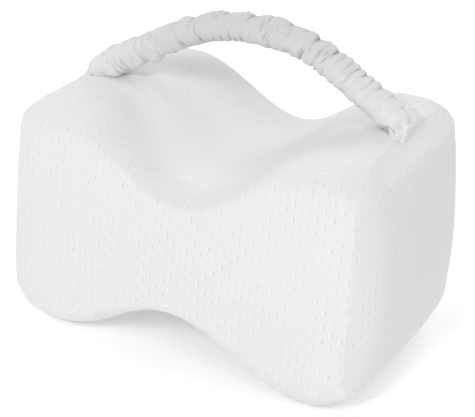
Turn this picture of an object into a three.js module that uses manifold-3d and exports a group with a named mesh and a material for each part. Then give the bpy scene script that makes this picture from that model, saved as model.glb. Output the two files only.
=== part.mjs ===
// Knee pillow: a contoured foam cushion in a sewn knitted cover, with a ruched strap over its saddle.
// Millimetres. +X runs along the length, -Y is the front and +Z is up. The origin lies on the surface
// that the pillow stands on, under the middle of its outline box.

import * as THREE from 'three';
import { mergeVertices } from 'three/addons/utils/BufferGeometryUtils.js';
import Module from 'manifold-3d';

// Cushion before its faces swell: outer size, and how far each edge is rounded
const LENGTH = 227.9;
const DEPTH = 156.1;
const HEIGHT = 145.8;
const EDGE_ALONG_X = 26.3;
const EDGE_ALONG_Y = 29.4;
const EDGE_AT_TOP = 13.2;
const EDGE_AT_BASE = 27.1;

// How far the middle of each end and of each panel swells out
const END_CROWN = 13.5;
const PANEL_CROWN = 3.1;

// The saddle in the top and the arch in the underside: depth, half width, and where the middle lies
const SADDLE = { depth: 34.0, halfWidth: 74.6, middle: 4.5 };
const ARCH = { depth: 33.0, halfWidth: 82.2, middle: 1.0 };

// Hand-cut foam is a little uneven: each value is the share gained or lost at the face
const LEAN = {
  lengthAtBack: -0.004,
  lengthAtTop: -0.01,
  depthAtRight: -0.024,
  depthAtTop: -0.056,
  heightAtRight: 0.035,
};

// The feet press flat: the last part of the height settles into two level patches
const SETTLE = 1.0;
const SETTLE_REACH = 40;

// Sewn channels along the seams: depth, and half width as a share of the rounded edge
const CHANNEL_DEPTH = 1.0;
const CHANNEL_REACH = 0.2;

// Where the seams run on the rounded edges, 1 being the middle of the rounding
const SEAM_ON_PANEL_TOP = 1.54;
const SEAM_ON_PANEL_CORNER = 0.77;
const SEAM_ON_END_CORNER = 1.41;
const SEAM_PULLED_BY_STRAP = 0.25;

// Facets: even steps across each flat, then stations that close in on the seam
const STEPS_X = 18;
const STEPS_Y = 10;
const STEPS_Z = 9;
const EDGE_STATIONS = [0.28, 0.54, 0.8, 0.91, 1];

// The strap: size of its oval section, and how far its skin keeps from the cushion
const STRAP_WIDTH = 20.4;
const STRAP_THICKNESS = 15.8;
const STRAP_SIDES = 18;
const STRAP_GAP = 0.3;

// Middle line of the strap in the plane y = 0, with the share of the full section at each place
const STRAP_LINE = [
  { x: -104.5, z: 129, width: 0.7, thickness: 0.4 },
  { x: -103.8, z: 138, width: 0.86, thickness: 0.66 },
  { x: -97.5, z: 145.2, width: 0.96, thickness: 0.9 },
  { x: -85, z: 153.4, width: 1, thickness: 1 },
  { x: -63.5, z: 165.2, width: 1, thickness: 1 },
  { x: -42.6, z: 176.8, width: 1, thickness: 1 },
  { x: -15.7, z: 187.9, width: 1, thickness: 1 },
  { x: 13, z: 191.6, width: 1, thickness: 1 },
  { x: 40, z: 188.9, width: 1, thickness: 1 },
  { x: 62.6, z: 179, width: 1, thickness: 1 },
  { x: 82, z: 167.8, width: 1.02, thickness: 1 },
  { x: 94, z: 159.6, width: 1.06, thickness: 0.98 },
  { x: 101.5, z: 151.6, width: 1, thickness: 0.8 },
  { x: 103.6, z: 140, width: 0.72, thickness: 0.45 },
];

// Where the gathered cloth is nipped in along the strap, and how deep
const PLEATS = [
  { x: -100, sink: 0.9 },
  { x: -93, sink: 1.0 },
  { x: -84.5, sink: 0.8 },
  { x: -77, sink: 0.7 },
  { x: -70, sink: 1.3 },
  { x: -60, sink: 0.5 },
  { x: -51, sink: 0.6 },
  { x: -43, sink: 1.1 },
  { x: -33, sink: 1.3 },
  { x: -21, sink: 0.7 },
  { x: -10.5, sink: 1.6 },
  { x: -1, sink: 0.7 },
  { x: 7.5, sink: 1.5 },
  { x: 16, sink: 0.6 },
  { x: 25, sink: 0.8 },
  { x: 33.5, sink: 1.4 },
  { x: 41, sink: 0.8 },
  { x: 50.5, sink: 1.7 },
  { x: 57, sink: 0.8 },
  { x: 62.8, sink: 1.3 },
  { x: 68, sink: 0.9 },
  { x: 72.8, sink: 1.3 },
  { x: 78, sink: 1.1 },
  { x: 83, sink: 1.0 },
  { x: 89, sink: 1.2 },
  { x: 95, sink: 0.9 },
  { x: 100, sink: 0.9 },
];
const PLEAT_PUFF = 0.6;
const PLEAT_ROUNDNESS = 0.5;
const PLEAT_STEPS = 4;
const PLEAT_LEAN = 1.3;
const PLEAT_LEAN_TURN = 2.4;

// Corners closer together than this are one corner
const MERGE_DISTANCE = 1e-3;
const PLACE_TOLERANCE = 1e-5;

const HALF = new THREE.Vector3(LENGTH / 2, DEPTH / 2, HEIGHT / 2);

const wasm = await Module();
wasm.setup();

// Surface of the cushion

function raisedCosine(x, { halfWidth, middle }) {
  const share = Math.min(Math.abs(x - middle) / halfWidth, 1);
  return 0.5 * (1 + Math.cos(Math.PI * share));
}

// Turns a direction on the rounded edges so that the seams run where the two sides of a grid edge meet
function seamDirection(across, v, top) {
  const ax = Math.abs(across.x);
  const ay = Math.abs(across.y);
  const az = Math.abs(across.z);
  const pull = top ? SEAM_PULLED_BY_STRAP * (1 - v * v) ** 2 * (1 - ay) : 0;
  const alongX = 1 + (SEAM_ON_END_CORNER - 1) * ay * az - pull * az;
  const alongY = 1 + (SEAM_ON_PANEL_TOP - 1) * az * (1 - ax) + (SEAM_ON_PANEL_CORNER - 1) * az * ax;
  return new THREE.Vector3(across.x * alongX, across.y * alongY, across.z).normalize();
}

// How deep the sewn channels lie at a place on the grid: round each panel, and across the top of each end
function channelDepth(share) {
  const ax = Math.abs(share.x);
  const ay = Math.abs(share.y);
  const az = Math.abs(share.z);
  const ontoPanel = ay - Math.max(ax, az);
  const fromPanelSeam = Math.abs(ontoPanel);
  const fromEndSeam = share.z > 0 ? Math.abs(ax - az) + Math.max(ontoPanel, 0) : 1;
  const near = Math.min(fromPanelSeam, fromEndSeam, CHANNEL_REACH) / CHANNEL_REACH;
  return CHANNEL_DEPTH * (1 - near * near) ** 2;
}

// A point of the block with rounded edges, from a point on the plain box around it
function roundedPoint(boxPoint) {
  const top = boxPoint.z > 0;
  const edge = new THREE.Vector3(EDGE_ALONG_X, EDGE_ALONG_Y, top ? EDGE_AT_TOP : EDGE_AT_BASE);
  const inner = HALF.clone().sub(edge);
  const flat = boxPoint.clone().clamp(inner.clone().negate(), inner);
  const across = boxPoint.clone().sub(flat).divide(edge);
  const toward = seamDirection(across, boxPoint.y / HALF.y, top);
  const outward = toward.clone().divide(edge).normalize();
  const sunk = outward.multiplyScalar(channelDepth(across));
  return flat.add(toward.multiply(edge)).sub(sunk);
}

// Swells the ends and panels, sinks the saddle and the arch, leans the faces and levels the feet
function shapedPoint(p) {
  const u = p.x / HALF.x;
  const v = p.y / HALF.y;
  const w = p.z / HALF.z;
  const swellX = 1 + (END_CROWN / HALF.x) * (1 - v * v) * (1 - w * w);
  const swellY = 1 + (PANEL_CROWN / HALF.y) * (1 - u * u) * (1 - w * w);
  const x = p.x * swellX * (1 + LEAN.lengthAtBack * v + LEAN.lengthAtTop * w);
  const y = p.y * swellY * (1 + LEAN.depthAtRight * u + LEAN.depthAtTop * w);
  const sunk = p.z > 0 ? SADDLE.depth * raisedCosine(x, SADDLE) : ARCH.depth * raisedCosine(x, ARCH);
  const raised = (p.z * (HALF.z - sunk)) / HALF.z + HALF.z;
  const height = raised * (1 + LEAN.heightAtRight * u);
  const fade = Math.max(1 - height / SETTLE_REACH, 0);
  return new THREE.Vector3(x, y, Math.max(height - SETTLE * fade * fade, 0));
}

// Grid lines along one axis: even over the flat, closing in on the seam at each end
function gridLines(half, lowEdge, highEdge, steps) {
  const low = -(half - lowEdge);
  const high = half - highEdge;
  const lines = EDGE_STATIONS.map((share) => low - share * lowEdge).reverse();
  for (let step = 0; step <= steps; step += 1) {
    lines.push(low + ((high - low) * step) / steps);
  }
  return lines.concat(EDGE_STATIONS.map((share) => high + share * highEdge));
}

function cushionGeometry() {
  const lines = {
    x: gridLines(HALF.x, EDGE_ALONG_X, EDGE_ALONG_X, STEPS_X),
    y: gridLines(HALF.y, EDGE_ALONG_Y, EDGE_ALONG_Y, STEPS_Y),
    z: gridLines(HALF.z, EDGE_AT_BASE, EDGE_AT_TOP, STEPS_Z),
  };
  const positions = [];
  const triangles = [];
  // One gridded face for each side: first and second axes in the order that faces outward on the + side
  const sides = [['x', 'y', 'z'], ['y', 'z', 'x'], ['z', 'x', 'y']];
  for (const [first, second, normal] of sides) {
    for (const sign of [-1, 1]) {
      const start = positions.length / 3;
      for (const a of lines[first]) {
        for (const b of lines[second]) {
          const boxPoint = new THREE.Vector3();
          boxPoint[first] = a;
          boxPoint[second] = b;
          boxPoint[normal] = sign * HALF[normal];
          positions.push(...shapedPoint(roundedPoint(boxPoint)).toArray());
        }
      }
      const rows = lines[second].length;
      for (let i = 0; i < lines[first].length - 1; i += 1) {
        for (let j = 0; j < rows - 1; j += 1) {
          const corner = start + i * rows + j;
          const quad = [corner, corner + rows, corner + rows + 1, corner + 1];
          if (sign < 0) {
            quad.reverse();
          }
          triangles.push(quad[0], quad[1], quad[2], quad[0], quad[2], quad[3]);
        }
      }
    }
  }
  const geometry = new THREE.BufferGeometry();
  geometry.setAttribute('position', new THREE.Float32BufferAttribute(positions, 3));
  geometry.setIndex(triangles);
  return mergeVertices(geometry, MERGE_DISTANCE);
}

// The ruched strap

// Rings of the loft: where each lies along x, and how far its skin stands out or in
function pleatRings() {
  const rings = [];
  for (let i = 0; i < PLEATS.length - 1; i += 1) {
    const from = PLEATS[i];
    const to = PLEATS[i + 1];
    for (let step = 0; step < PLEAT_STEPS; step += 1) {
      const f = step / PLEAT_STEPS;
      const swell = Math.sin(Math.PI * f) ** PLEAT_ROUNDNESS;
      const nip = THREE.MathUtils.lerp(from.sink, to.sink, f) * (1 - swell);
      const x = THREE.MathUtils.lerp(from.x, to.x, f);
      rings.push({ x, skin: PLEAT_PUFF * swell - nip, lean: Math.sin(PLEAT_LEAN_TURN * (i + f)) });
    }
  }
  return rings;
}

// Place on the strap's middle line for a given x, with its section there
function strapPlace(curve, x) {
  let low = 0;
  let high = 1;
  while (high - low > PLACE_TOLERANCE) {
    const middle = (low + high) / 2;
    if (curve.getPoint(middle).x < x) {
      low = middle;
    } else {
      high = middle;
    }
  }
  const rowPlace = low * (STRAP_LINE.length - 1);
  const row = Math.min(Math.floor(rowPlace), STRAP_LINE.length - 2);
  const f = THREE.MathUtils.smoothstep(rowPlace - row, 0, 1);
  const from = STRAP_LINE[row];
  const to = STRAP_LINE[row + 1];
  return {
    point: curve.getPoint(low),
    tangent: curve.getTangent(low),
    width: STRAP_WIDTH * THREE.MathUtils.lerp(from.width, to.width, f),
    thickness: STRAP_THICKNESS * THREE.MathUtils.lerp(from.thickness, to.thickness, f),
  };
}

function strapGeometry() {
  const line = STRAP_LINE.map(({ x, z }) => new THREE.Vector3(x, 0, z));
  const curve = new THREE.CatmullRomCurve3(line, false, 'centripetal');
  const first = STRAP_LINE[0];
  const last = STRAP_LINE[STRAP_LINE.length - 1];
  const rings = [{ x: first.x, skin: 0, lean: 0 }, ...pleatRings(), { x: last.x, skin: 0, lean: 0 }];
  const positions = [];
  for (const { x, skin, lean } of rings) {
    const { point, tangent, width, thickness } = strapPlace(curve, x);
    const up = new THREE.Vector3(-tangent.z, 0, tangent.x);
    for (let side = 0; side < STRAP_SIDES; side += 1) {
      const angle = (2 * Math.PI * side) / STRAP_SIDES;
      const outY = Math.cos(angle) * (width / 2 + skin);
      const outUp = Math.sin(angle) * (thickness / 2 + skin);
      const along = PLEAT_LEAN * lean * Math.cos(angle);
      const place = point.clone().addScaledVector(up, outUp).addScaledVector(tangent, along);
      positions.push(place.x, place.y + outY, place.z);
    }
  }
  const ends = [rings[0].x, rings[rings.length - 1].x].map((x) => strapPlace(curve, x).point);
  ends.forEach((end) => positions.push(...end.toArray()));
  const startCap = rings.length * STRAP_SIDES;
  const lastRing = (rings.length - 1) * STRAP_SIDES;
  const triangles = [];
  for (let side = 0; side < STRAP_SIDES; side += 1) {
    const next = (side + 1) % STRAP_SIDES;
    for (let ring = 0; ring < rings.length - 1; ring += 1) {
      const a = ring * STRAP_SIDES + side;
      const b = ring * STRAP_SIDES + next;
      triangles.push(a, b, b + STRAP_SIDES, a, b + STRAP_SIDES, a + STRAP_SIDES);
    }
    triangles.push(startCap, next, side, startCap + 1, lastRing + side, lastRing + next);
  }
  const geometry = new THREE.BufferGeometry();
  geometry.setAttribute('position', new THREE.Float32BufferAttribute(positions, 3));
  geometry.setIndex(triangles);
  return geometry;
}

// Cutting the strap's ends to the cushion

function toManifold(geometry) {
  const mesh = new wasm.Mesh({
    numProp: 3,
    vertProperties: new Float32Array(geometry.attributes.position.array),
    triVerts: new Uint32Array(geometry.index.array),
  });
  return new wasm.Manifold(mesh);
}

function toGeometry(solid) {
  const mesh = solid.getMesh();
  const geometry = new THREE.BufferGeometry();
  geometry.setAttribute('position', new THREE.Float32BufferAttribute(mesh.vertProperties, 3));
  geometry.setIndex(Array.from(mesh.triVerts));
  return geometry;
}

// The same closed form with its skin moved out all over
function grown(geometry, distance) {
  const copy = geometry.clone();
  copy.computeVertexNormals();
  const position = copy.attributes.position;
  const normal = copy.attributes.normal;
  for (let i = 0; i < position.count; i += 1) {
    const place = new THREE.Vector3().fromBufferAttribute(position, i);
    place.addScaledVector(new THREE.Vector3().fromBufferAttribute(normal, i), distance);
    position.setXYZ(i, place.x, place.y, place.z);
  }
  copy.deleteAttribute('normal');
  return copy;
}

function piece(name, geometry, material) {
  geometry.computeVertexNormals();
  const mesh = new THREE.Mesh(geometry, material);
  mesh.name = name;
  return mesh;
}

const knitCover = new THREE.MeshStandardMaterial({ color: 0xf1f1f0, roughness: 0.92, metalness: 0 });
const gatheredCloth = new THREE.MeshStandardMaterial({ color: 0xe9e8ec, roughness: 0.9, metalness: 0 });

const cushion = cushionGeometry();
const strapSeat = toManifold(grown(cushion, STRAP_GAP));
const strap = toManifold(strapGeometry()).subtract(strapSeat);

const pillow = new THREE.Group();
pillow.add(piece('pillow_body', cushion, knitCover));
pillow.add(piece('leg_strap', toGeometry(strap), gatheredCloth));

export default pillow;
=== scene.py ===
"""Knee pillow: a contoured foam cushion in a sewn knitted cover, with a ruched leg strap over its saddle.

Metres, in the part's own frame: +X runs along the length, -Y is the front and +Z is up.
"""

import logging
import math
from dataclasses import dataclass, field
from enum import Enum

import bpy
import numpy as np
from mathutils import Matrix, Vector, kdtree, noise


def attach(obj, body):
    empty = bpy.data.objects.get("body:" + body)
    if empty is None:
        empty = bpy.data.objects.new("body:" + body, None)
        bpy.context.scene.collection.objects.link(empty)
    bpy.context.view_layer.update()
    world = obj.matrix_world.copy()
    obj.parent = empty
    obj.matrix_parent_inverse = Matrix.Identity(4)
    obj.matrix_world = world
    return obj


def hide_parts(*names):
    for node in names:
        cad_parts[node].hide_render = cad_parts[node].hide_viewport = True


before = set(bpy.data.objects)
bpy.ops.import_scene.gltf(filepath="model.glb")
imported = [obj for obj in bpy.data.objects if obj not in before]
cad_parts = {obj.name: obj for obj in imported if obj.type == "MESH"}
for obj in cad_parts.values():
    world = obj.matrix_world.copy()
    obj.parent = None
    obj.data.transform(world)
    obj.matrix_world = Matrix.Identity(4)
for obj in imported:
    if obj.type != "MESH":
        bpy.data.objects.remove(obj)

log = logging.getLogger("knee_pillow")

MM = 0.001
BODY = "root"


class Panel(Enum):
    """The two hourglass panels of the cover, by the side of the middle that each lies on."""

    FRONT = -1
    BACK = 1


def linear(hex_colour: str) -> tuple[float, float, float, float]:
    """Turns an sRGB colour into the linear values that a shader takes.

    Args:
        hex_colour: Six hex digits, such as "f2f2f1".

    Returns:
        Linear red, green, blue and an alpha of 1.
    """
    parts = [int(hex_colour[i:i + 2], 16) / 255 for i in (0, 2, 4)]
    red, green, blue = [c / 12.92 if c <= 0.04045 else ((c + 0.055) / 1.055) ** 2.4 for c in parts]
    return red, green, blue, 1.0


def add_node(tree: bpy.types.NodeTree, kind: str, settings: dict | None = None,
             inputs: dict | None = None) -> bpy.types.Node:
    """Adds one shader node with its settings, values and links.

    Args:
        tree: The node tree of a material or world.
        kind: Blender's name for the kind of node.
        settings: Node properties by name.
        inputs: Values or output sockets by the input's name or number.

    Returns:
        The new node.
    """
    node = tree.nodes.new(kind)
    for name, value in (settings or {}).items():
        setattr(node, name, value)
    for key, value in (inputs or {}).items():
        if isinstance(value, bpy.types.NodeSocket):
            tree.links.new(value, node.inputs[key])
        else:
            node.inputs[key].default_value = value
    return node


def noise_at(points: np.ndarray, size: float, seed: float = 0.0) -> np.ndarray:
    """Smooth noise between about -1 and 1 at many points.

    Args:
        points: An array of places, three values each.
        size: The size of one lump, in the points' own unit.
        seed: Moves the pattern, so that two uses differ.

    Returns:
        One value for each point.
    """
    shift = Vector((seed, seed * 0.7, seed * 1.3))
    return np.array([noise.noise(Vector(p) / size + shift) for p in points])


def bell(distance: np.ndarray, width: float) -> np.ndarray:
    """A smooth bump of height 1 that fades over the given width."""
    return np.exp(-(distance / width) ** 2)


def mesh_object(name: str, places: np.ndarray, faces: list[list[int]]) -> bpy.types.Object:
    """Makes an object at the origin from its vertices and faces.

    Args:
        name: The object's name.
        places: Vertex positions in metres.
        faces: The vertex numbers of each face.

    Returns:
        The new object, shaded smooth.
    """
    mesh = bpy.data.meshes.new(name)
    mesh.from_pydata(places.tolist(), [], faces)
    mesh.update()
    mesh.polygons.foreach_set("use_smooth", np.ones(len(mesh.polygons), bool))
    made = bpy.data.objects.new(name, mesh)
    bpy.context.scene.collection.objects.link(made)
    return made


def vertex_normals(made: bpy.types.Object) -> np.ndarray:
    """The outward direction at each vertex of an object.

    Args:
        made: The object.

    Returns:
        One unit direction for each vertex.
    """
    normals = np.zeros(len(made.data.vertices) * 3)
    made.data.vertices.foreach_get("normal", normals)
    return normals.reshape(-1, 3)


def place_vertices(made: bpy.types.Object, places: np.ndarray) -> None:
    """Moves an object's vertices to new places, in metres."""
    made.data.vertices.foreach_set("co", places.astype(np.float32).ravel())
    made.data.update()


@dataclass(frozen=True)
class Hollow:
    """A smooth dip across the cushion, deepest in its middle."""

    depth: float
    half_width: float
    middle: float

    def at(self, x: np.ndarray) -> np.ndarray:
        """How deep the dip is at each x."""
        share = np.minimum(np.abs(x - self.middle) / self.half_width, 1)
        return self.depth * 0.5 * (1 + np.cos(np.pi * share))


@dataclass(frozen=True)
class KnitCover:
    """Polyester jacquard knit, brushed, as on mattress covers: white, matt and soft, with slim staggered dimples."""

    name: str = "polyester_jacquard_knit"
    cloth: str = "e9e9e8"
    # A painted highlight, laid on the lit side of each raised rib.
    ridge_highlight: str = "f1f1f0"
    # Painted shade, laid into the slits.
    shade: str = "cbcbcc"
    column_pitch: float = 4.5 * MM
    row_pitch: float = 9.0 * MM
    slit: tuple[float, float] = (0.75 * MM, 2.9 * MM)
    rib: tuple[float, float] = (0.9 * MM, 3.2 * MM)
    rib_beside: float = 1.15 * MM
    slit_depth: float = 0.1 * MM
    slit_shade: float = 0.5
    rib_height: float = 0.14 * MM
    loop_size: float = 1.0 * MM
    loop_depth: float = 0.04 * MM
    wander: float = 1.8 * MM
    wander_size: float = 24 * MM
    stretch_size: float = 13 * MM
    stretch_range: tuple[float, float] = (0.38, 0.64)
    least_slack: float = 0.12
    roughness: float = 0.95
    sheen: float = 0.1

    def make(self) -> bpy.types.Material:
        """Builds the material.

        Brushed polyester scatters light evenly, so the cloth is matt with a faint sheen and no highlight. Each
        dimple is a slit a millimetre wide with a raised rib of knit beside it: the slit is darkened with painted
        shade and the rib is lightened with a painted highlight, and both fade where the cover is stretched. The
        knit's loops are 0.4 mm, too fine to show, and are drawn over twice as coarse.

        Returns:
            The material.
        """
        material = bpy.data.materials.new(self.name)
        material.use_nodes = True
        tree = material.node_tree
        tree.nodes.clear()
        cloth_map = add_node(tree, "ShaderNodeUVMap", {"uv_map": "cloth"}).outputs["UV"]
        where = add_node(tree, "ShaderNodeTexCoord").outputs["Object"]
        drift = add_node(tree, "ShaderNodeTexNoise", {},
                         {"Vector": where, "Scale": 1 / self.wander_size, "Detail": 1.0})
        centred = add_node(tree, "ShaderNodeVectorMath", {"operation": "SUBTRACT"},
                           {0: drift.outputs["Color"], 1: (0.5, 0.5, 0.5)}).outputs[0]
        moved = add_node(tree, "ShaderNodeVectorMath", {"operation": "MULTIPLY_ADD"},
                         {0: centred, 1: (self.wander, self.wander, 0), 2: cloth_map}).outputs[0]
        corner = (self.column_pitch, self.row_pitch / 2, 1.0)
        forms = {}
        for form, size, beside in (("slit", self.slit, 0.0), ("rib", self.rib, self.rib_beside)):
            halves = []
            for shift in ((beside, 0.0, 0.0), (self.column_pitch + beside, self.row_pitch / 2, 0.0)):
                column = add_node(tree, "ShaderNodeVectorMath", {"operation": "ADD"}, {0: moved, 1: shift}).outputs[0]
                offset = add_node(tree, "ShaderNodeVectorMath", {"operation": "WRAP"},
                                  {0: column, 1: corner, 2: tuple(-c for c in corner)}).outputs[0]
                scaled = add_node(tree, "ShaderNodeVectorMath", {"operation": "DIVIDE"},
                                  {0: offset, 1: (*size, 1.0)}).outputs[0]
                reach = add_node(tree, "ShaderNodeVectorMath", {"operation": "LENGTH"}, {0: scaled}).outputs["Value"]
                halves.append(add_node(tree, "ShaderNodeMapRange", {"interpolation_type": "SMOOTHSTEP"}, {
                    "Value": reach, "From Min": 0.1, "From Max": 1.0, "To Min": 1.0, "To Max": 0.0}).outputs[0])
            forms[form] = add_node(tree, "ShaderNodeMath", {"operation": "MAXIMUM"},
                                   {0: halves[0], 1: halves[1]}).outputs[0]
        stretch = add_node(tree, "ShaderNodeTexNoise", {}, {
            "Vector": where, "Scale": 1 / self.stretch_size, "Detail": 2.0, "Roughness": 0.6}).outputs["Fac"]
        slack = add_node(tree, "ShaderNodeMapRange", {}, {
            "Value": stretch, "From Min": self.stretch_range[0], "From Max": self.stretch_range[1],
            "To Min": self.least_slack, "To Max": 1.0}).outputs[0]
        slit = add_node(tree, "ShaderNodeMath", {"operation": "MULTIPLY"}, {0: forms["slit"], 1: slack}).outputs[0]
        rib = add_node(tree, "ShaderNodeMath", {"operation": "MULTIPLY"}, {0: forms["rib"], 1: slack}).outputs[0]
        loops = add_node(tree, "ShaderNodeTexNoise", {},
                         {"Vector": where, "Scale": 1 / self.loop_size, "Detail": 2.0}).outputs["Fac"]
        raised = add_node(tree, "ShaderNodeMath", {"operation": "MULTIPLY"},
                          {0: rib, 1: self.rib_height / MM}).outputs[0]
        slits = add_node(tree, "ShaderNodeMath", {"operation": "MULTIPLY_ADD"},
                         {0: slit, 1: -self.slit_depth / MM, 2: raised}).outputs[0]
        height = add_node(tree, "ShaderNodeMath", {"operation": "MULTIPLY_ADD"},
                          {0: loops, 1: self.loop_depth / MM, 2: slits}).outputs[0]
        bump = add_node(tree, "ShaderNodeBump", {}, {"Height": height, "Distance": MM, "Strength": 1.0})
        # Painted shade: the slits are darkened towards the shade colour.
        shaded = add_node(tree, "ShaderNodeMath", {"operation": "MULTIPLY"},
                          {0: slit, 1: self.slit_shade}).outputs[0]
        # Painted highlight: the raised ribs are lightened towards the highlight colour.
        plain = add_node(tree, "ShaderNodeMix", {"data_type": "RGBA"}, {
            "Factor": rib, "A": linear(self.cloth), "B": linear(self.ridge_highlight)}).outputs["Result"]
        colour = add_node(tree, "ShaderNodeMix", {"data_type": "RGBA"}, {
            "Factor": shaded, "A": plain, "B": linear(self.shade)}).outputs["Result"]
        shader = add_node(tree, "ShaderNodeBsdfPrincipled", {}, {
            "Base Color": colour, "Roughness": self.roughness, "IOR": 1.45, "Specular IOR Level": 0.2,
            "Sheen Weight": self.sheen, "Sheen Roughness": 0.6, "Normal": bump.outputs[0]})
        add_node(tree, "ShaderNodeOutputMaterial", {}, {"Surface": shader.outputs[0]})
        return material


@dataclass(frozen=True)
class GatheredCloth:
    """Short-napped polyester plush, gathered over elastic: white but a little cooler and darker than the knit."""

    name: str = "gathered_polyester_plush"
    cloth: str = "d4d4d5"
    # Painted light: the sewn ends are painted whiter than the middle.
    painted_end_light: str = "eeeeee"
    # Painted shade, laid into the pleats.
    shade: str = "b0b0b5"
    nap_size: float = 0.9 * MM
    nap_depth: float = 0.07 * MM
    roughness: float = 0.97
    sheen: float = 0.15

    def make(self) -> bpy.types.Material:
        """Builds the material.

        The nap hides the yarn and blurs every highlight, so folds read through shade alone. The pleat attribute says
        how far into a pleat a place lies, and painted shade darkens the cloth there. Another attribute grows towards
        the sewn ends, and painted light makes the cloth whiter there than over the stretched middle. The nap's fibres
        are under 0.1 mm and are drawn as soft lumps that show.

        Returns:
            The material.
        """
        material = bpy.data.materials.new(self.name)
        material.use_nodes = True
        tree = material.node_tree
        tree.nodes.clear()
        where = add_node(tree, "ShaderNodeTexCoord").outputs["Object"]
        pleat = add_node(tree, "ShaderNodeAttribute", {"attribute_name": "pleat"}).outputs["Fac"]
        end_light_mask = add_node(tree, "ShaderNodeAttribute", {"attribute_name": "end_light_mask"}).outputs["Fac"]
        nap = add_node(tree, "ShaderNodeTexNoise", {},
                       {"Vector": where, "Scale": 1 / self.nap_size, "Detail": 3.0}).outputs["Fac"]
        height = add_node(tree, "ShaderNodeMath", {"operation": "MULTIPLY"},
                          {0: nap, 1: self.nap_depth / MM}).outputs[0]
        bump = add_node(tree, "ShaderNodeBump", {}, {"Height": height, "Distance": MM, "Strength": 1.0})
        # Painted light: the cloth is painted whiter towards the sewn ends.
        face = add_node(tree, "ShaderNodeMix", {"data_type": "RGBA"}, {
            "Factor": end_light_mask, "A": linear(self.cloth), "B": linear(self.painted_end_light)}).outputs["Result"]
        # Painted shade: the cloth is darkened towards the shade colour as far into a pleat as it lies.
        colour = add_node(tree, "ShaderNodeMix", {"data_type": "RGBA"}, {
            "Factor": pleat, "A": face, "B": linear(self.shade)}).outputs["Result"]
        shader = add_node(tree, "ShaderNodeBsdfPrincipled", {}, {
            "Base Color": colour, "Roughness": self.roughness, "IOR": 1.45, "Specular IOR Level": 0.15,
            "Sheen Weight": self.sheen, "Sheen Roughness": 0.5, "Normal": bump.outputs[0]})
        add_node(tree, "ShaderNodeOutputMaterial", {}, {"Surface": shader.outputs[0]})
        return material


@dataclass(frozen=True)
class OpalTable:
    """Matt opal acrylic of a light table: white, and lit from below so that only close shadows show."""

    name: str = "opal_acrylic_light_table"
    acrylic: str = "fafafa"
    glow: float = 0.18

    def make(self) -> bpy.types.Material:
        """Builds the material.

        Returns:
            The material.
        """
        material = bpy.data.materials.new(self.name)
        material.use_nodes = True
        shader = material.node_tree.nodes["Principled BSDF"]
        shader.inputs["Base Color"].default_value = linear(self.acrylic)
        shader.inputs["Roughness"].default_value = 1.0
        shader.inputs["Specular IOR Level"].default_value = 0.0
        shader.inputs["Emission Color"].default_value = (1.0, 1.0, 1.0, 1.0)
        shader.inputs["Emission Strength"].default_value = self.glow
        return material


@dataclass
class SeamLine:
    """A sewn seam as a line of close points, with the distance run along it."""

    points: np.ndarray
    run: np.ndarray = field(init=False)

    def __post_init__(self) -> None:
        """Measures the seam."""
        steps = np.linalg.norm(np.diff(self.points, axis=0), axis=1)
        self.run = np.concatenate([[0.0], np.cumsum(steps)])

    def nearest(self, places: np.ndarray) -> tuple[np.ndarray, np.ndarray]:
        """Finds the seam from many places.

        Args:
            places: The places to measure from.

        Returns:
            The distance to the seam, and how far along it the nearest point lies.
        """
        tree = kdtree.KDTree(len(self.points))
        for number, point in enumerate(self.points):
            tree.insert(point, number)
        tree.balance()
        found = [tree.find(place)[1:] for place in places]
        numbers = np.array([number for number, _ in found])
        return np.array([distance for _, distance in found]), self.run[numbers]


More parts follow.
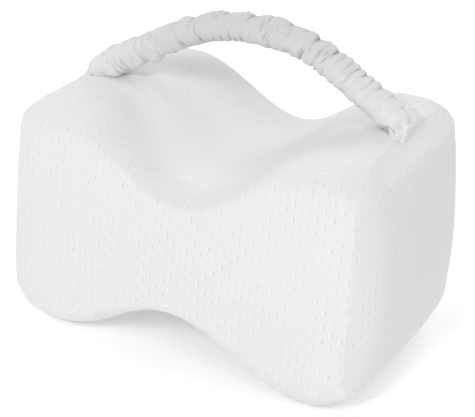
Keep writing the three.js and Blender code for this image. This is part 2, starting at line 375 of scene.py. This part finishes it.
@dataclass
class Cushion:
    """The foam block in its cover: two hourglass panels and a band round the edge, sewn together."""

    # The foam block before its ends swell, and the rounding of its edges.
    length: float = 227.9 * MM
    depth: float = 156.1 * MM
    height: float = 145.8 * MM
    edge_along_x: float = 26.3 * MM
    edge_along_y: float = 29.4 * MM
    edge_at_top: float = 13.2 * MM
    edge_at_base: float = 27.1 * MM
    end_crown: float = 13.5 * MM
    panel_crown: float = 3.1 * MM
    saddle: Hollow = Hollow(34.0 * MM, 74.6 * MM, 4.5 * MM)
    arch: Hollow = Hollow(33.0 * MM, 82.2 * MM, 1.0 * MM)
    # How much its sides differ, as shares of the size, and how its feet settle.
    length_at_back: float = -0.004
    length_at_top: float = -0.01
    depth_at_right: float = -0.024
    depth_at_top: float = -0.056
    height_at_right: float = 0.035
    settle: float = 1.0 * MM
    settle_reach: float = 40 * MM
    # How far round the rounded edges the seams run.
    seam_on_panel_top: float = 1.54
    seam_on_panel_corner: float = 0.77
    seam_on_end_corner: float = 1.41
    seam_pulled_by_strap: float = 0.25
    # The fineness of the mesh, and how much closer the knit lies on the band.
    cloth_step: float = 1.6 * MM
    edge_steps: int = 14
    band_slack: float = 1.1
    # The seams, and the cloth that puffs and puckers beside them.
    seam_step: float = 0.6 * MM
    seam_sink: float = 0.09 * MM
    seam_width: float = 1.1 * MM
    seam_puff: float = 0.06 * MM
    puff_place: float = 3.2 * MM
    puff_width: float = 2.4 * MM
    pucker: float = 0.3 * MM
    pucker_pitch: float = 5 * MM
    pucker_place: float = 3.0 * MM
    pucker_width: float = 3.0 * MM
    # The creases that stand at the cross seams and down the corners; their widths are off the end and on it.
    crease_height: float = 1.4 * MM
    crease_width: tuple[float, float] = (9.0 * MM, 3.0 * MM)
    crease_fade: float = 12 * MM
    end_hollow: float = 1.7 * MM
    end_hollow_place: float = 8 * MM
    end_hollow_width: float = 5.5 * MM
    corner_height: float = 2.4 * MM
    corner_width: tuple[float, float] = (11.0 * MM, 7.5 * MM)
    # The folds that fan out from the strap's sewn ends.
    strap_pull: float = 0.55 * MM
    strap_pull_place: float = 7 * MM
    strap_pull_reach: float = 13 * MM
    strap_pull_folds: int = 9
    # The foam's own dips.
    valley: float = 0.9 * MM
    valley_place: float = 17 * MM
    valley_width: float = 8 * MM
    unevenness: float = 0.5 * MM
    unevenness_size: float = 55 * MM
    base_fade: float = 20 * MM
    finish: KnitCover = KnitCover()

    @property
    def half(self) -> np.ndarray:
        """Half the block's size each way."""
        return np.array([self.length, self.depth, self.height]) / 2

    def seam_direction(self, across: np.ndarray, v: np.ndarray, top: np.ndarray) -> np.ndarray:
        """Turns a direction on the rounded edges so that the seams run where two sides of the grid meet.

        Args:
            across: How far into the rounding a place is along each axis, from -1 to 1.
            v: The place across the depth, from -1 to 1.
            top: Whether it is in the upper half.

        Returns:
            Unit directions.
        """
        ax, ay, az = np.abs(across).T
        pull = np.where(top, self.seam_pulled_by_strap * (1 - v * v) ** 2 * (1 - ay), 0)
        along_x = 1 + (self.seam_on_end_corner - 1) * ay * az - pull * az
        along_y = 1 + (self.seam_on_panel_top - 1) * az * (1 - ax) + (self.seam_on_panel_corner - 1) * az * ax
        toward = across * np.stack([along_x, along_y, np.ones(len(across))], 1)
        return toward / np.linalg.norm(toward, axis=1)[:, None]

    def surface(self, box: np.ndarray) -> np.ndarray:
        """The cushion's smooth surface.

        Args:
            box: Places on the plain box around the block.

        Returns:
            The same places on the cushion.
        """
        half = self.half
        top = box[:, 2] > 0
        edge = np.stack([np.full(len(box), self.edge_along_x), np.full(len(box), self.edge_along_y),
                         np.where(top, self.edge_at_top, self.edge_at_base)], 1)
        flat = np.clip(box, edge - half, half - edge)
        toward = self.seam_direction((box - flat) / edge, box[:, 1] / half[1], top)
        point = flat + toward * edge
        u, v, w = (point / half).T
        swell_x = 1 + self.end_crown / half[0] * (1 - v * v) * (1 - w * w)
        swell_y = 1 + self.panel_crown / half[1] * (1 - u * u) * (1 - w * w)
        x = point[:, 0] * swell_x * (1 + self.length_at_back * v + self.length_at_top * w)
        y = point[:, 1] * swell_y * (1 + self.depth_at_right * u + self.depth_at_top * w)
        sunk = np.where(point[:, 2] > 0, self.saddle.at(x), self.arch.at(x))
        raised = point[:, 2] * (half[2] - sunk) / half[2] + half[2]
        height = raised * (1 + self.height_at_right * u)
        fade = np.maximum(1 - height / self.settle_reach, 0)
        return np.stack([x, y, np.maximum(height - self.settle * fade * fade, 0)], 1)

    def grid_lines(self, axis: int) -> np.ndarray:
        """Grid lines along one axis: even over the flat, closing in on the seam at each end.

        Args:
            axis: 0, 1 or 2 for x, y or z.

        Returns:
            Positions from the lowest to the highest.
        """
        low_edge, high_edge = ((self.edge_along_x,) * 2, (self.edge_along_y,) * 2,
                               (self.edge_at_base, self.edge_at_top))[axis]
        half = self.half[axis]
        share = 1 - (np.arange(self.edge_steps) / self.edge_steps)[::-1] ** 1.6
        steps = round((2 * half - low_edge - high_edge) / self.cloth_step)
        flat = np.linspace(low_edge - half, half - high_edge, steps + 1)
        low = (low_edge - half - share * low_edge)[::-1]
        return np.concatenate([low, flat, half - high_edge + share * high_edge])

    def panel_seam(self, side: Panel) -> SeamLine:
        """The seam round the front or back panel.

        Args:
            side: The panel.

        Returns:
            The seam.
        """
        hx, hy, hz = self.half
        xs = np.arange(-hx, hx, self.seam_step)
        zs = np.arange(-hz, hz, self.seam_step)
        loop = np.concatenate([
            np.stack([xs, np.full(len(xs), hz)], 1), np.stack([np.full(len(zs), hx), zs[::-1]], 1),
            np.stack([xs[::-1], np.full(len(xs), -hz)], 1), np.stack([np.full(len(zs), -hx), zs], 1)])
        box = np.stack([loop[:, 0], np.full(len(loop), side.value * hy), loop[:, 1]], 1)
        return SeamLine(self.surface(box))

    def end_seam(self, side: int) -> SeamLine:
        """The cross seam at the top of one end.

        Args:
            side: -1 for the left end, 1 for the right end.

        Returns:
            The seam.
        """
        hx, hy, hz = self.half
        ys = np.arange(-hy, hy, self.seam_step)
        return SeamLine(self.surface(np.stack([np.full(len(ys), side * hx), ys, np.full(len(ys), hz)], 1)))

    def build(self) -> bpy.types.Object:
        """Makes the cushion's mesh with its seams, puckers and cloth map.

        Returns:
            The cushion.
        """
        lines = [self.grid_lines(axis) for axis in range(3)]
        boxes, faces, maps = [], [], []
        start = 0
        for first, second, normal in ((0, 1, 2), (1, 2, 0), (2, 0, 1)):
            for sign in (-1, 1):
                a, b = np.meshgrid(lines[first], lines[second], indexing="ij")
                box = np.zeros((a.size, 3))
                box[:, first], box[:, second], box[:, normal] = a.ravel(), b.ravel(), sign * self.half[normal]
                rows = len(lines[second])
                corner = (np.arange(len(lines[first]) - 1)[:, None] * rows + np.arange(rows - 1)).ravel() + start
                quads = np.stack([corner, corner + rows, corner + rows + 1, corner + 1], 1)
                boxes.append(box)
                faces.append(quads if sign > 0 else quads[:, ::-1])
                maps.append(self.cloth_map(box, a.shape, normal, sign))
                start += len(box)
        box, faces, cloth = np.concatenate(boxes), np.concatenate(faces), np.concatenate(maps)
        _, first_use, number = np.unique(np.round(box / (1e-4 * MM)).astype(np.int64), axis=0,
                                         return_index=True, return_inverse=True)
        number = number.ravel()
        welded = box[first_use]
        made = mesh_object("cushion", self.surface(welded), number[faces].tolist())
        layer = made.data.uv_layers.new(name="cloth")
        layer.data.foreach_set("uv", cloth[faces.ravel()].astype(np.float32).ravel())
        self.sew(made, welded)
        return made

    def cloth_map(self, box: np.ndarray, shape: tuple[int, int], normal: int, sign: int) -> np.ndarray:
        """Lays the knit over one side: its columns run up the panels, and along the band.

        Args:
            box: Places of the side's grid on the plain box.
            shape: How many grid lines the side has along its two axes.
            normal: The axis that the side faces along.
            sign: Which way it faces.

        Returns:
            Two values in metres for each place: across the columns and along them.
        """
        places = self.surface(box)
        if normal == 1:
            return np.stack([places[:, 0], places[:, 2]], 1)
        grid = places.reshape(*shape, 3)
        if normal == 2:
            across, along = 1, 0
        else:
            across, along = 0, 1
        middle = shape[across] // 2
        ribs = np.linalg.norm(np.diff(grid, axis=across), axis=2)
        width = np.cumsum(np.insert(ribs, 0, 0, axis=across), axis=across)
        width = width - np.take(width, [middle], axis=across)
        centre = np.take(grid, middle, axis=across)
        run = np.concatenate([[0], np.cumsum(np.linalg.norm(np.diff(centre, axis=0), axis=1))])
        run = (run - run[len(run) // 2]) * sign
        long = np.broadcast_to(run if along else run[:, None], shape)
        return np.stack([width.ravel() * self.band_slack, long.ravel()], 1)

    def sew(self, made: bpy.types.Object, box: np.ndarray) -> None:
        """Sinks the seams, puckers the cloth beside them, creases ends and corners and makes the foam uneven.

        Args:
            made: The smooth cushion.
            box: Each vertex's place on the plain box.
        """
        places = self.surface(box)
        out = vertex_normals(made)
        offset = self.unevenness * noise_at(places, self.unevenness_size, 3.0)
        offset *= np.clip(places[:, 2] / self.base_fade, 0, 1)
        ends = (self.end_seam(-1), self.end_seam(1))
        panels = (self.panel_seam(Panel.FRONT), self.panel_seam(Panel.BACK))
        on_top = np.isclose(box[:, 2], self.half[2])
        on_end = np.isclose(np.abs(box[:, 0]), self.half[0])
        # The valley fades out from the left lobe to the saddle, and the corner creases short of the top and base.
        left = np.clip(0.3 - places[:, 0] / (70 * MM), 0, 1)
        upright = np.clip(np.minimum(places[:, 2] - 10 * MM, 140 * MM - places[:, 2]) / (15 * MM), 0, 1)
        upright *= np.clip((np.abs(places[:, 0]) - 85 * MM) / (12 * MM), 0, 1)
        corner_width = np.where(on_end, self.corner_width[1], self.corner_width[0])
        for seam in panels:
            distance = seam.nearest(places)[0]
            offset -= self.valley * left * bell(distance - self.valley_place, self.valley_width) * on_top
            offset += self.corner_height * np.exp(-distance / corner_width) * upright
        for seam in (*panels, *ends):
            distance, run = seam.nearest(places)
            folds = np.stack([run, distance * 0.15, np.full(len(run), seam.points[0, 1])], 1)
            gather = noise_at(folds, self.pucker_pitch, 11.0)
            offset -= self.seam_sink * bell(distance, self.seam_width)
            offset += self.seam_puff * bell(distance - self.puff_place, self.puff_width)
            offset += self.pucker * gather * bell(distance - self.pucker_place, self.pucker_width)
        for seam in ends:
            distance, run = seam.nearest(places)
            inner = np.clip(np.minimum(run, run.max() - run) / self.crease_fade, 0, 1)
            width = np.where(on_end, self.crease_width[1], self.crease_width[0])
            offset += self.crease_height * np.exp(-distance / width) * inner
            hollow = bell(distance - self.end_hollow_place, self.end_hollow_width)
            offset -= self.end_hollow * hollow * inner * on_end
            caught = seam.points[len(seam.points) // 2]
            away = places - caught
            reach = np.linalg.norm(away, axis=1)
            turn = np.arctan2(away[:, 1], caught[2] - places[:, 2])
            fan = 0.5 + 0.5 * np.cos(self.strap_pull_folds * turn + 2 * noise_at(places, 12 * MM, 5.0))
            offset += self.strap_pull * fan * bell(reach - self.strap_pull_place, self.strap_pull_reach)
        lift = np.where(places[:, 2] < 0.2 * MM, 0, 1)
        moved = places + out * (offset * lift)[:, None]
        moved[:, 2] = np.maximum(moved[:, 2], 0)
        place_vertices(made, moved)

    def dress(self, made: bpy.types.Object) -> None:
        """Gives the cushion its cover's material and says what it stands for.

        Args:
            made: The cushion.
        """
        made.data.materials.append(self.finish.make())
        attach(made, BODY)
        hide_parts("pillow_body")


@dataclass(frozen=True)
class StrapPlace:
    """One place on the strap's middle line, in millimetres, and its share of the full section there."""

    x: float
    z: float
    width: float = 1.0
    thickness: float = 1.0
    y: float = 0.0


@dataclass(frozen=True)
class Pleat:
    """Where the cloth is nipped in and how deep, in millimetres, how far round in radians, and how softly."""

    x: float
    sink: float
    reach: float = 0.7
    softness: float = 1.0


@dataclass(frozen=True)
class Fold:
    """A loose fold: its place, its angle round the strap in degrees, and its rise and length in millimetres."""

    x: float
    angle: float
    rise: float
    length: float
    spread: float = 0.45


@dataclass(frozen=True)
class CreaseKind:
    """Small creases of one side: how many, round which angle in degrees, and the millimetres they vary between."""

    count: int
    middle: float
    scatter: float
    spread: float
    depths: tuple[float, float]
    widths: tuple[float, float]


STRAP_LINE = (
    StrapPlace(-101.5, 129, 0.7, 0.4, -3),
    StrapPlace(-100.8, 137.5, 0.86, 0.7, -2.5),
    StrapPlace(-95.5, 144.4, 0.97, 0.97, -1.5),
    StrapPlace(-84.5, 152.6, 1, 1.1, -0.5),
    StrapPlace(-63.5, 165.2),
    StrapPlace(-42.6, 176.8),
    StrapPlace(-15.7, 187.9),
    StrapPlace(13, 191.6),
    StrapPlace(40, 188.9),
    StrapPlace(62.6, 179),
    StrapPlace(82, 168, 1.02, 1, 0.5),
    StrapPlace(90, 163.2, 1, 0.94, 2.5),
    StrapPlace(96, 158.3, 0.94, 0.88, 3.5),
    StrapPlace(100.5, 153, 0.86, 0.66, 3),
    StrapPlace(102.7, 148.5, 0.6, 0.42, -1),
    StrapPlace(103.2, 145, 0.4, 0.36, -3.5),
)

PLEATS = (
    Pleat(-90.5, 1.9, 0.8), Pleat(-83, 2.1, 0.8), Pleat(-76.7, 1.5), Pleat(-70, 2.2, 0.8), Pleat(-59, 2.1, 0.8),
    Pleat(-52.5, 1.0), Pleat(-41.5, 2.0), Pleat(-31, 2.6, 0.8), Pleat(-20, 0.7, 1.0), Pleat(-10.8, 2.9, 0.8),
    Pleat(-3, 0.7, 1.0), Pleat(5.7, 2.6, 0.8), Pleat(17, 0.7, 1.0), Pleat(29, 2.4, 0.8), Pleat(38.5, 1.4),
    Pleat(44.8, 3.0, 0.85), Pleat(51, 0.8, 1.1), Pleat(56, 2.3, 0.9), Pleat(61, 1.3, 1.5, 0.4),
    Pleat(65.4, 1.5, 1.5, 0.4), Pleat(69.6, 1.5, 1.7, 0.4), Pleat(73.8, 1.9, 1.5, 0.5), Pleat(78.3, 1.5, 1.7, 0.4),
    Pleat(83.2, 1.9, 1.0, 0.6), Pleat(90, 1.4), Pleat(94, 1.4, 0.6),
)

FOLDS = (
    Fold(-88, 228, 2.4, 6.5), Fold(-73, 232, 3.4, 5.0), Fold(-59, 236, 3.8, 5.0), Fold(-48, 236, 1.4, 5.0),
    Fold(99.8, 14, 7.5, 4.2, 0.5), Fold(-36, 80, 1.0, 4.0), Fold(-17, 75, 1.1, 6.0), Fold(0, 70, 1.0, 5.0),
    Fold(20, 65, 1.0, 7.0), Fold(41, 60, 1.2, 3.0), Fold(50, 58, 1.1, 4.0), Fold(63, 55, 0.8, 5.0),
    Fold(87, 236, 0.9, 3.5), Fold(94, 200, 1.6, 2.5, 0.5), Fold(97.5, 130, 1.4, 2.0, 0.6),
    Fold(94.5, 262, 2.4, 6.0, 0.8), Fold(97, 42, 1.8, 1.6, 0.4), Fold(94, 60, 1.3, 1.4, 0.4),
    Fold(101.6, 150, 1.6, 1.8, 0.4),
)

CREASE_KINDS = (
    CreaseKind(64, 236, 10, 0.55, (0.9, 2.0), (0.6, 1.0)),
    CreaseKind(66, 160, 45, 0.6, (0.6, 1.5), (0.5, 1.0)),
    CreaseKind(80, 0, 70, 0.6, (0.4, 1.2), (0.5, 0.8)),
)


@dataclass
class Strap:
    """The leg strap: a soft cloth tube gathered over elastic, its ends caught in the cross seams."""

    # The tube's full section, and the fineness of its mesh.
    width: float = 20.4 * MM
    thickness: float = 15.8 * MM
    ring_step: float = 0.36 * MM
    sides: int = 120
    # How the cloth stands off the elastic between pleats, how the pleats rise and lean, and the circle that the
    # unevenness is laid round.
    puff: float = 0.6 * MM
    pleat_rise: tuple[float, float] = (1.3 * MM, 2.8 * MM)
    lean: float = 1.3 * MM
    lean_size: float = 9 * MM
    lumps: float = 0.7 * MM
    lumps_size: float = 7 * MM
    circle_radius: float = 9 * MM
    # The sewn ends: shallower creases, rumples, and the taper to the tip.
    sewn_from: float = 0.76
    sewn_crease: float = 0.55
    tip_gather: float = 2.0 * MM
    tip_gather_size: float = 3.4 * MM
    tip_gather_place: float = 8 * MM
    tip_fade: tuple[float, float] = (6 * MM, 5 * MM)
    # Fine crinkles, the pleat depth that sets the painted shade, and the reach of the painted light at the sewn ends.
    crinkle: float = 0.12 * MM
    crinkle_size: float = 1.7 * MM
    deep_pleat: float = 1.6 * MM
    end_light_reach: float = 105 * MM
    finish: GatheredCloth = GatheredCloth()

    def middle_line(self) -> tuple[np.ndarray, np.ndarray, np.ndarray, np.ndarray]:
        """Runs a smooth line through the strap's places.

        Returns:
            Points a ring's step apart, with the place across, the width and the thickness at each.
        """
        knots = np.array([(p.x * MM, p.z * MM) for p in STRAP_LINE])
        shares = np.array([(p.width, p.thickness, p.y * MM) for p in STRAP_LINE])
        padded = np.vstack([2 * knots[0] - knots[1], knots, 2 * knots[-1] - knots[-2]])
        gaps = np.sqrt(np.linalg.norm(np.diff(padded, axis=0), axis=1))
        points, sections = [], []
        for i in range(len(knots) - 1):
            p0, p1, p2, p3 = padded[i:i + 4]
            g0, g1, g2 = gaps[i:i + 3]
            slope1 = ((p1 - p0) / g0 - (p2 - p0) / (g0 + g1) + (p2 - p1) / g1) * g1
            slope2 = ((p2 - p1) / g1 - (p3 - p1) / (g1 + g2) + (p3 - p2) / g2) * g1
            t = np.linspace(0, 1, 40, endpoint=False)[:, None]
            points.append((2 * t ** 3 - 3 * t ** 2 + 1) * p1 + (t ** 3 - 2 * t ** 2 + t) * slope1
                          + (3 * t ** 2 - 2 * t ** 3) * p2 + (t ** 3 - t ** 2) * slope2)
            ease = t * t * (3 - 2 * t)
            sections.append(shares[i] * (1 - ease) + shares[i + 1] * ease)
        points = np.vstack(points + [knots[-1:]])
        sections = np.vstack(sections + [shares[-1:]])
        run = np.concatenate([[0], np.cumsum(np.linalg.norm(np.diff(points, axis=0), axis=1))])
        even = np.linspace(0, run[-1], round(run[-1] / self.ring_step) + 1)
        line = np.stack([np.interp(even, run, points[:, k]) for k in (0, 1)], 1)
        width, thickness, across = (np.interp(even, run, sections[:, k]) for k in (0, 1, 2))
        return line, across, width * self.width, thickness * self.thickness

    def gathers(self, x: np.ndarray, run: np.ndarray, angle: np.ndarray) -> np.ndarray:
        """How far the gathered cloth stands out of the plain tube.

        Args:
            x: Each ring's place along the part's length.
            run: Each ring's place along the strap.
            angle: The places round a ring.

        Returns:
            An offset in metres for each ring and each place round it.
        """
        grid_run, grid_angle = np.meshgrid(run, angle, indexing="ij")
        turn = grid_angle.ravel()
        round_y, round_z = self.circle_radius * np.cos(turn), self.circle_radius * np.sin(turn)
        circle = np.stack([grid_run.ravel(), round_y, round_z], 1)
        drift = noise_at(circle, self.lean_size, 5.0).reshape(grid_run.shape) * self.lean
        skin = self.puff + noise_at(circle, self.lumps_size, 2.0).reshape(grid_run.shape) * self.lumps
        seeds = np.random.default_rng(7)
        for fold in FOLDS:
            turned = np.angle(np.exp(1j * (grid_angle - math.radians(fold.angle))))
            distance = grid_run - np.interp(fold.x * MM, x, run)
            skin += fold.rise * MM * bell(turned, fold.spread) * bell(distance, fold.length * MM)
        for pleat in PLEATS:
            turned = np.angle(np.exp(1j * (grid_angle - math.radians(seeds.uniform(58, 75)))))
            distance = grid_run - np.interp(pleat.x * MM, x, run) + drift * np.abs(turned)
            rise = np.where(distance < 0, self.pleat_rise[0], self.pleat_rise[1]) * pleat.softness
            skin -= pleat.sink * MM * bell(turned, pleat.reach) * np.exp(-np.abs(distance) / rise)
        for kind in CREASE_KINDS:
            for number in range(kind.count):
                place = run[0] + (run[-1] - run[0]) * (number + seeds.uniform(0, 1)) / kind.count
                centre = math.radians(kind.middle + seeds.normal(0, kind.scatter))
                turned = np.angle(np.exp(1j * (grid_angle - centre)))
                distance = grid_run - place + drift + seeds.uniform(-1, 1) * 2 * MM * turned / np.pi
                around = bell(turned, kind.spread * seeds.uniform(0.7, 1.4))
                share = self.sewn_crease if place > self.sewn_from * run[-1] else 1
                depth = seeds.uniform(*kind.depths) * MM * share
                skin -= depth * around * bell(distance, seeds.uniform(*kind.widths) * MM)
        from_end = np.minimum(grid_run, run[-1] - grid_run)
        rumples = noise_at(circle * np.array([0.7, 1, 1]), self.tip_gather_size, 3.0).reshape(grid_run.shape)
        skin += self.tip_gather * rumples * bell(from_end - self.tip_gather_place, self.tip_gather_place)
        fine = noise_at(circle * np.array([1, 0.35, 0.35]), self.crinkle_size, 9.0).reshape(grid_run.shape)
        return skin + self.crinkle * fine

    def build(self) -> bpy.types.Object:
        """Makes the strap's mesh, with its pleats.

        Returns:
            The strap.
        """
        line, across, width, thickness = self.middle_line()
        tangent = np.gradient(line, axis=0)
        tangent /= np.linalg.norm(tangent, axis=1)[:, None]
        run = np.concatenate([[0], np.cumsum(np.linalg.norm(np.diff(line, axis=0), axis=1))])
        angle = np.arange(self.sides) * 2 * np.pi / self.sides
        skin = self.gathers(line[:, 0], run, angle)
        fade = np.minimum(run / self.tip_fade[0], (run[-1] - run) / self.tip_fade[1]).clip(0, 1)[:, None]
        skin = skin * fade
        out_y = across[:, None] + np.cos(angle) * (width[:, None] / 2 + skin)
        out_up = np.sin(angle) * (thickness[:, None] / 2 + skin)
        x = line[:, :1] - tangent[:, 1:] * out_up
        z = line[:, 1:] + tangent[:, :1] * out_up
        places = np.stack([x, out_y, z], 2).reshape(-1, 3)
        rings = len(line)
        corner = (np.arange(rings - 1)[:, None] * self.sides + np.arange(self.sides)).ravel()
        beside = (np.arange(rings - 1)[:, None] * self.sides + (np.arange(self.sides) + 1) % self.sides).ravel()
        faces = np.stack([corner, beside, beside + self.sides, corner + self.sides], 1).tolist()
        faces.append(list(range(self.sides))[::-1])
        faces.append(list(range((rings - 1) * self.sides, rings * self.sides)))
        made = mesh_object("strap", places, faces)
        # How far into a pleat each place lies, which sets the painted shade.
        deep = np.clip(-skin / self.deep_pleat, 0, 1)
        from_end = np.minimum(run, run[-1] - run)[:, None]
        # Painted light, growing towards both sewn ends.
        painted_end_light = np.broadcast_to(np.clip(1 - from_end / self.end_light_reach, 0, 1) ** 1.5, skin.shape)
        for name, values in (("pleat", deep), ("end_light_mask", painted_end_light)):
            layer = made.data.attributes.new(name, "FLOAT", "POINT")
            layer.data.foreach_set("value", values.astype(np.float32).ravel())
        return made

    def dress(self, made: bpy.types.Object) -> None:
        """Gives the strap its material and says what it stands for.

        Args:
            made: The strap.
        """
        made.data.materials.append(self.finish.make())
        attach(made, BODY)
        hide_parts("leg_strap")


@dataclass(frozen=True)
class Softbox:
    """One square softbox: where it hangs, its width, its power in watts and the place that it faces."""

    name: str
    place: tuple[float, float, float]
    size: float
    power: float
    aim: tuple[float, float, float] = (0.0, 0.0, 0.09)

    def hang(self) -> None:
        """Adds the softbox to the scene."""
        data = bpy.data.lights.new(self.name, "AREA")
        data.size = self.size
        data.energy = self.power
        lamp = bpy.data.objects.new(self.name, data)
        bpy.context.scene.collection.objects.link(lamp)
        lamp.location = self.place
        lamp.rotation_euler = (Vector(self.aim) - Vector(self.place)).to_track_quat("-Z", "Y").to_euler()


SOFTBOXES = (
    Softbox("key", (0.0, -1.9, 1.5), 0.5, 15.3),
    Softbox("right_fill", (1.5, -1.2, 1.5), 1.0, 12.2),
    Softbox("left_fill", (-1.9, 0.2, 1.1), 1.2, 11.2),
    Softbox("front_left_fill", (-1.5, -1.2, 1.5), 1.0, 1.6),
    Softbox("back", (0.3, 1.7, 1.5), 1.2, 14.3),
    Softbox("overhead", (0.0, 0.0, 2.1), 1.5, 5.2),
    Softbox("background", (-0.5, 1.7, 0.9), 1.4, 6.5, (-0.9, 2.0, 0.0)),
)


@dataclass
class Studio:
    """The pale floor, the soft light and the camera."""

    floor_size: float = 8.0
    azimuth: float = 28.888
    elevation: float = 26.679
    roll: float = -2.354
    target: tuple[float, float, float] = (0.0, 0.0, 0.09117)
    distance: float = 0.9135
    lens: float = 114.96
    sensor: float = 36.0
    shift_x: float = 0.0004
    shift_y: float = -0.0548
    daylight: float = 0.3

    def lay_floor(self) -> None:
        """Lays the floor that the pillow stands on."""
        bpy.ops.object.select_all(action="DESELECT")
        bpy.ops.mesh.primitive_plane_add(size=self.floor_size)
        floor = bpy.context.object
        floor.name = "floor"
        floor.data.materials.append(OpalTable().make())

    def light(self) -> None:
        """Lights the scene evenly from all round, with a smaller key light from the front that draws the shadows."""
        world = bpy.data.worlds.new("studio")
        world.use_nodes = True
        background = world.node_tree.nodes["Background"]
        background.inputs["Color"].default_value = (1.0, 1.0, 1.0, 1.0)
        background.inputs["Strength"].default_value = self.daylight
        bpy.context.scene.world = world
        for softbox in SOFTBOXES:
            softbox.hang()
        bpy.context.scene.view_settings.view_transform = "Standard"

    def set_camera(self) -> None:
        """Sets the camera at the photograph's angle."""
        a, e, r = (math.radians(angle) for angle in (self.azimuth, self.elevation, self.roll))
        back = Vector((math.sin(a) * math.cos(e), -math.cos(a) * math.cos(e), math.sin(e)))
        right = Vector((math.cos(a), math.sin(a), 0.0))
        up = back.cross(right)
        rolled_right = right * math.cos(r) - up * math.sin(r)
        rolled_up = right * math.sin(r) + up * math.cos(r)
        data = bpy.data.cameras.new("camera")
        data.sensor_width = self.sensor
        data.lens = self.lens
        data.shift_x = self.shift_x
        data.shift_y = self.shift_y
        camera = bpy.data.objects.new("camera", data)
        bpy.context.scene.collection.objects.link(camera)
        turn = Matrix((rolled_right, rolled_up, back)).transposed()
        camera.matrix_world = Matrix.Translation(Vector(self.target) + back * self.distance) @ turn.to_4x4()
        bpy.context.scene.camera = camera


def main() -> None:
    """Builds the pillow, and the studio round the pillow."""
    logging.basicConfig(level=logging.INFO, format="%(name)s: %(message)s")
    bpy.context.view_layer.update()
    studio = Studio()
    studio.lay_floor()
    studio.light()
    studio.set_camera()
    for part in (Cushion(), Strap()):
        made = part.build()
        part.dress(made)
        log.info("%s: %d faces", made.name, len(made.data.polygons))


if __name__ == "__main__":
    main()
